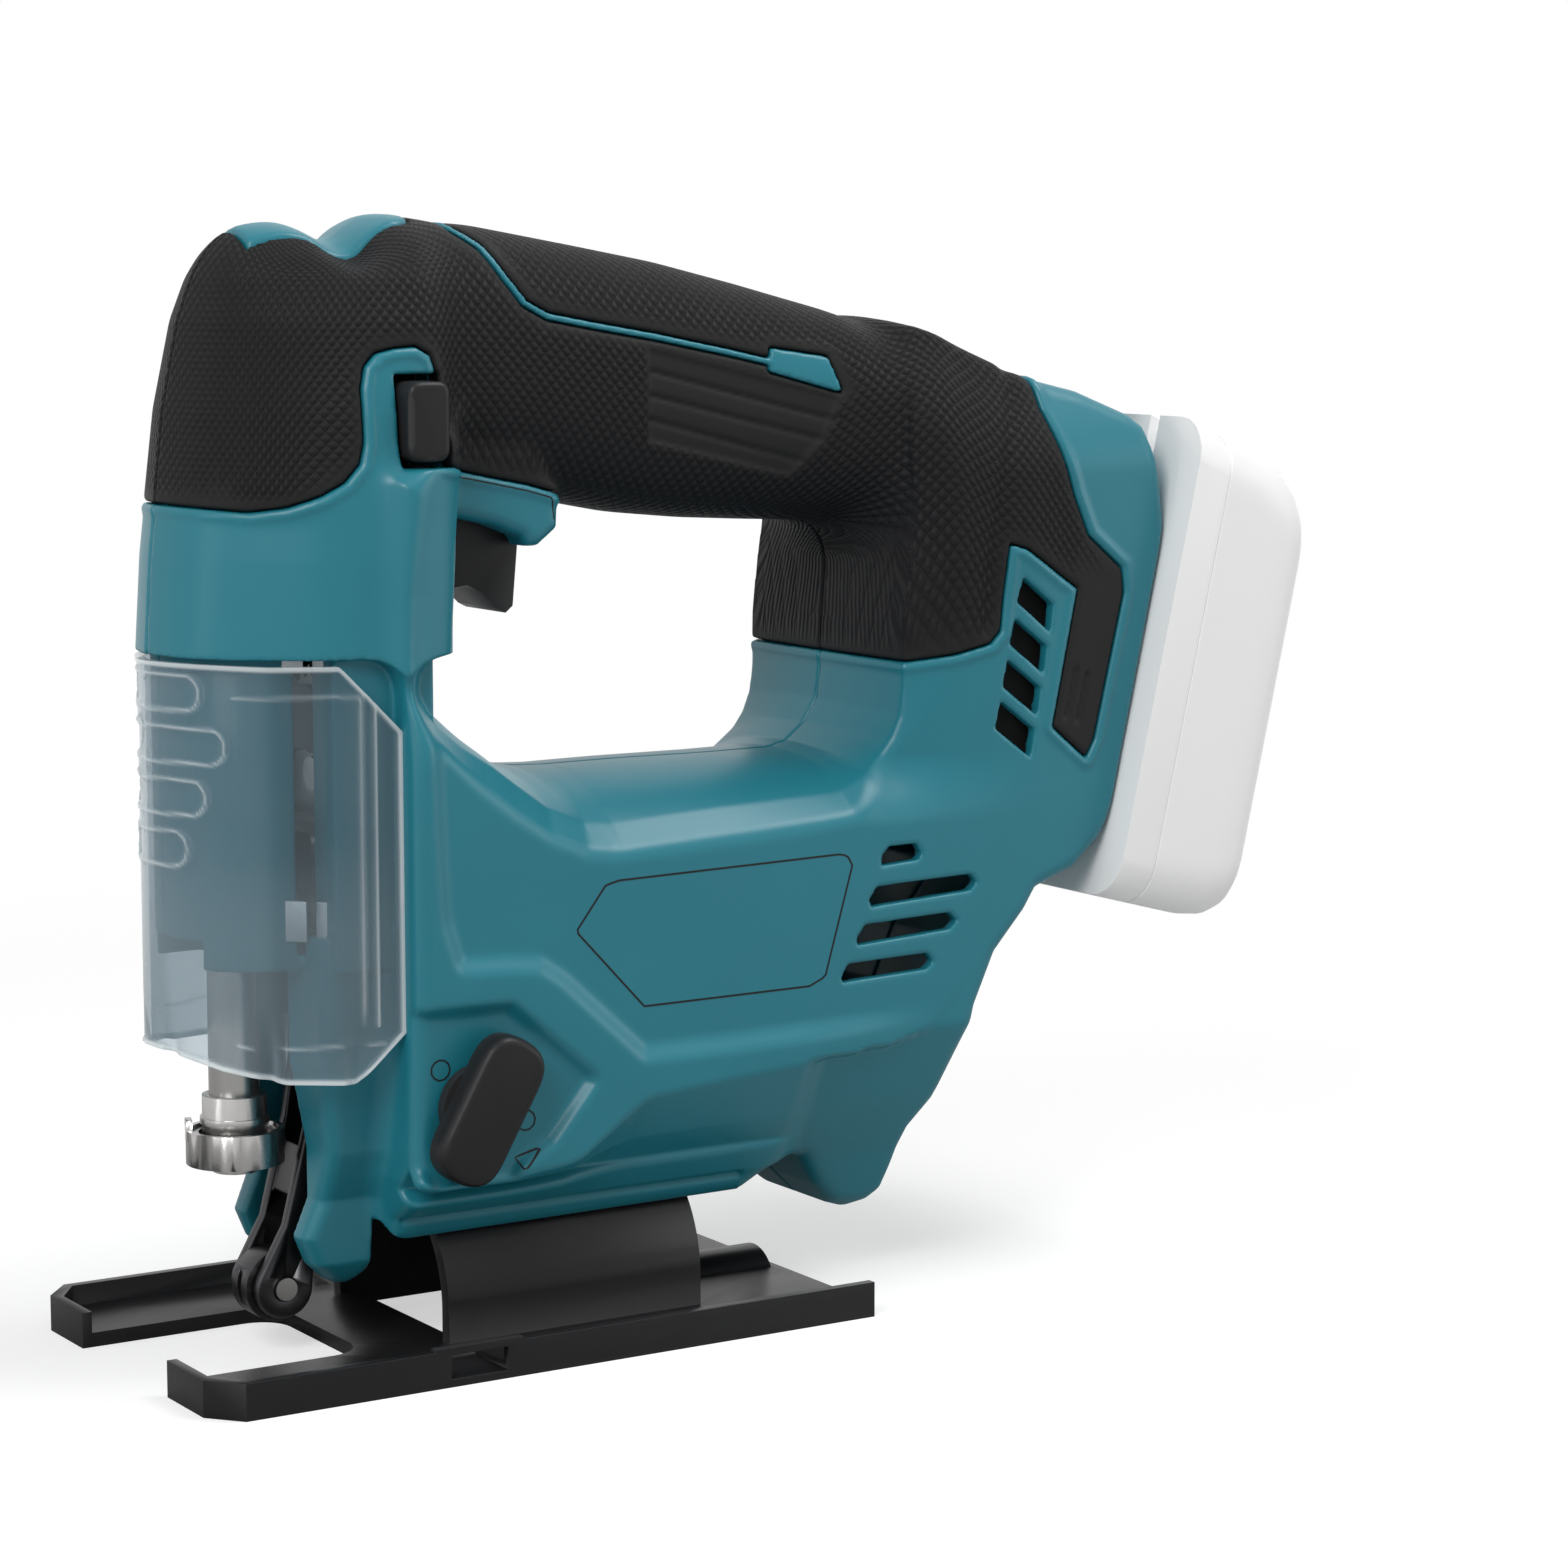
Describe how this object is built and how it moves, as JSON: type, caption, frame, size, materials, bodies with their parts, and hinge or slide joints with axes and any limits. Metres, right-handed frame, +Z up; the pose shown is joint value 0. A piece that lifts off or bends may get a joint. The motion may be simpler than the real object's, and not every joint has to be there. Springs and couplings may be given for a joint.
{
  "type": "cordless jigsaw",
  "caption": "Cordless jigsaw with a rubber-covered D handle, clear dust cover, tilting shoe, orbital knob, tool-less blade clamp and slide-on battery pack.",
  "frame": {"origin": "under the middle of the tool on the plane of the sole", "axes": "+X back along the cut, from the nose to the battery; +Y to the tool's right; +Z up from the sole"},
  "size_m": [0.231, 0.077, 0.1976],
  "materials": {
    "teal_plastic": "satin moulded plastic, blue-green",
    "grip_rubber": "matt moulded rubber with a fine diamond pattern",
    "clear_plastic": "clear polished plastic",
    "shoe_black": "satin black coated pressed steel",
    "bright_steel": "bright turned or plated steel",
    "dark_steel": "blackened steel",
    "gear_steel": "hardened gear steel",
    "cast_alloy": "die-cast alloy",
    "bronze": "sintered bronze",
    "copper": "copper bars on a moulded ring",
    "can_steel": "zinc-plated drawn steel",
    "black_plastic": "black moulded plastic",
    "pack_shell": "milky translucent plastic",
    "cell_can": "sleeved steel cell cans"
  },
  "bodies": {
    "housing": {"left_housing": "teal_plastic", "right_housing": "teal_plastic", "left_grip": "grip_rubber", "right_grip": "grip_rubber", "top_insert": "teal_plastic", "shoe_clamp": "shoe_black", "shoe_bolt": "bright_steel", "anchor_block": "gear_steel", "gear_case": "cast_alloy", "gear_axle": "bright_steel", "lower_bush": "bronze", "upper_bush": "bronze", "fork_pin": "bright_steel", "switch_body": "black_plastic", "trigger_spring": "bright_steel", "motor_can": "can_steel", "motor_magnets": "dark_steel", "front_bearing": "bright_steel", "rear_bearing": "bright_steel", "brush_holder": "black_plastic", "housing_screws": "bright_steel", "rail_plate": "black_plastic", "terminal_block": "copper"},
    "shoe": {"shoe": "shoe_black"},
    "plunger": {"plunger": "bright_steel", "plunger_yoke": "gear_steel", "clamp_body": "bright_steel", "clamp_spring": "bright_steel"},
    "clamp_ring": {"clamp_ring": "bright_steel"},
    "fork": {"orbital_fork": "dark_steel", "roller_pin": "bright_steel"},
    "roller": {"guide_roller": "dark_steel"},
    "knob": {"orbital_knob": "black_plastic", "knob_shaft": "bright_steel"},
    "trigger": {"trigger": "black_plastic"},
    "lock_button": {"lock_off_button": "black_plastic"},
    "dust_cover": {"dust_cover": "clear_plastic"},
    "rotor": {"armature": "gear_steel", "commutator": "copper", "cooling_fan": "black_plastic", "motor_pinion": "gear_steel"},
    "crank": {"crank_gear": "gear_steel", "crank_roller": "bright_steel", "counterweight": "dark_steel"},
    "pack": {"pack_front": "pack_shell", "pack_back": "pack_shell", "battery_cells": "cell_can"},
    "latch": {"pack_latch": "pack_shell", "latch_spring": "bright_steel"}
  },
  "joints": [
    {"name": "shoe_tilt", "type": "hinge", "parent": "housing", "child": "shoe", "pos_m": [0, 0, 0.008], "axis": [1, 0, 0], "range_deg": [-45, 45]},
    {"name": "plunger_stroke", "type": "slide", "parent": "housing", "child": "plunger", "axis": [0, 0, 1], "range_m": [0, 0.026]},
    {"name": "clamp_ring_turn", "type": "hinge", "parent": "plunger", "child": "clamp_ring", "pos_m": [-0.09405, 0, 0.037], "axis": [0, 0, 1], "range_deg": [0, 60], "stiffness_Nm_per_rad": 0.08, "springref_deg": -17.19},
    {"name": "fork_swing", "type": "hinge", "parent": "housing", "child": "fork", "pos_m": [-0.07674, 0, 0.052], "axis": [0, 1, 0], "range_deg": [0, 4]},
    {"name": "roller_spin", "type": "hinge", "parent": "fork", "child": "roller", "pos_m": [-0.08754, 0, 0.012], "axis": [0, 1, 0], "continuous": true},
    {"name": "knob_turn", "type": "hinge", "parent": "housing", "child": "knob", "pos_m": [-0.06355, -0.0335, 0.0463], "axis": [0, 1, 0], "range_deg": [-30, 60]},
    {"name": "trigger_press", "type": "slide", "parent": "housing", "child": "trigger", "axis": [0, 0, 1], "range_m": [0, 0.006], "stiffness_N_per_m": 900, "springref_m": -0.004, "deforming": ["trigger_spring"]},
    {"name": "lock_press", "type": "slide", "parent": "housing", "child": "lock_button", "axis": [0, 1, 0], "range_m": [0, 0.0035], "stiffness_N_per_m": 700, "springref_m": -0.002},
    {"name": "cover_slide", "type": "slide", "parent": "housing", "child": "dust_cover", "axis": [0, 0, -1], "range_m": [0, 0.01]},
    {"name": "rotor_spin", "type": "hinge", "parent": "housing", "child": "rotor", "pos_m": [-0.01554, 0, 0.0785], "axis": [1, 0, 0], "continuous": true},
    {"name": "crank_spin", "type": "hinge", "parent": "housing", "child": "crank", "pos_m": [-0.07555, 0, 0.101], "axis": [1, 0, 0], "continuous": true},
    {"name": "pack_slide", "type": "slide", "parent": "housing", "child": "pack", "axis": [-0.225, 0, -0.9744], "range_m": [0, 0.05]},
    {"name": "latch_press", "type": "slide", "parent": "pack", "child": "latch", "axis": [0.9744, 0, -0.225], "range_m": [0, 0.002], "stiffness_N_per_m": 800, "springref_m": -0.002}
  ],
  "couplings": [
    {"joint": "crank_spin", "follows": "rotor_spin", "ratio": -0.25}
  ]
}
